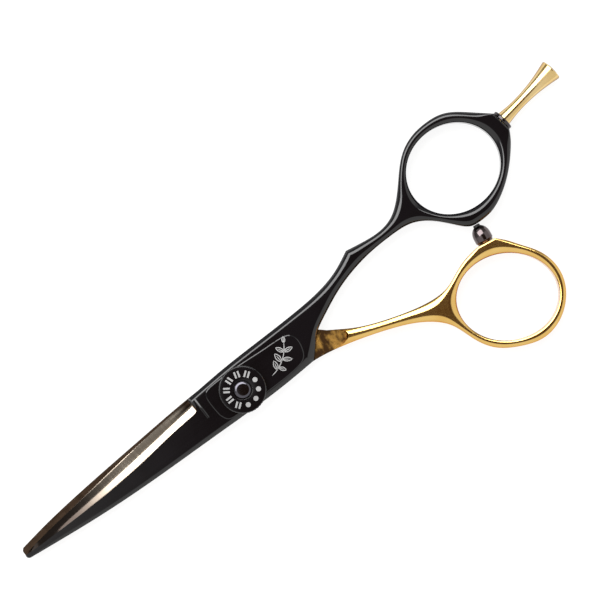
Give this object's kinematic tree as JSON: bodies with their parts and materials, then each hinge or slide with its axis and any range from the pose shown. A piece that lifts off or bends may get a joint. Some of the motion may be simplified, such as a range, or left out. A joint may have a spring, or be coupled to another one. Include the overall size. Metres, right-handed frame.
{
  "type": "hair cutting shears",
  "caption": "Slim hairdressing shears with offset finger rings, a flared finger rest, a bumper between the rings and a knurled tension dial on a ball-bearing pivot.",
  "frame": {"origin": "on the pivot axis, at the flat back face of the pivot bolt, which the shears rest on", "axes": "+X from the pivot towards the rings, +Y to the side of the finger ring, +Z out of the tension dial"},
  "size_m": [0.1693, 0.0574, 0.0079],
  "materials": {
    "black_coating": "gloss",
    "gold_plate": "polished",
    "ground_steel": "polished",
    "bronze_coating": "gloss",
    "steel": "satin",
    "dark_metal": "gloss",
    "bronze": "satin",
    "washer_polymer": "satin",
    "soft_pad": "matte",
    "silver_marking": "satin"
  },
  "bodies": {
    "finger_half": {"finger_blade": "black_coating", "pivot_bush": "bronze", "friction_washer": "washer_polymer", "finger_rest": "gold_plate", "finger_rest_collar": "dark_metal"},
    "thumb_half": {"thumb_blade": "gold_plate", "pivot_bolt": "steel", "dial_cap": "dark_metal", "bumper_barrel": "dark_metal", "bumper_pad": "soft_pad"},
    "bearing": {"bearing_cage": "bronze", "bearing_ball_1": "steel", "bearing_ball_2": "steel", "bearing_ball_3": "steel", "bearing_ball_4": "steel", "bearing_ball_5": "steel", "bearing_ball_6": "steel", "bearing_ball_7": "steel", "bearing_ball_8": "steel"},
    "click": {"click_spring": "steel"},
    "dial": {"tension_dial": "black_coating"}
  },
  "joints": [
    {"name": "pivot", "type": "hinge", "parent": "finger_half", "child": "thumb_half", "pos_m": [0, 0, 0.00325], "axis": [0, 0, -1], "range_deg": [0, 145]},
    {"name": "bearing_turn", "type": "hinge", "parent": "finger_half", "child": "bearing", "pos_m": [0, 0, 0.00325], "axis": [0, 0, -1], "range_deg": [0, 72.5]},
    {"name": "dial_feed", "type": "slide", "parent": "thumb_half", "child": "click", "axis": [0, 0, 1], "range_m": [-0.000125, 0.000125]},
    {"name": "dial_turn", "type": "hinge", "parent": "click", "child": "dial", "pos_m": [0, 0, 0.0064], "axis": [0, 0, 1], "range_deg": [-90.1, 90.1]}
  ],
  "couplings": [
    {"joint": "bearing_turn", "follows": "pivot", "ratio": 0.5},
    {"joint": "dial_turn", "follows": "dial_feed", "rad_per_m": 12566}
  ]
}
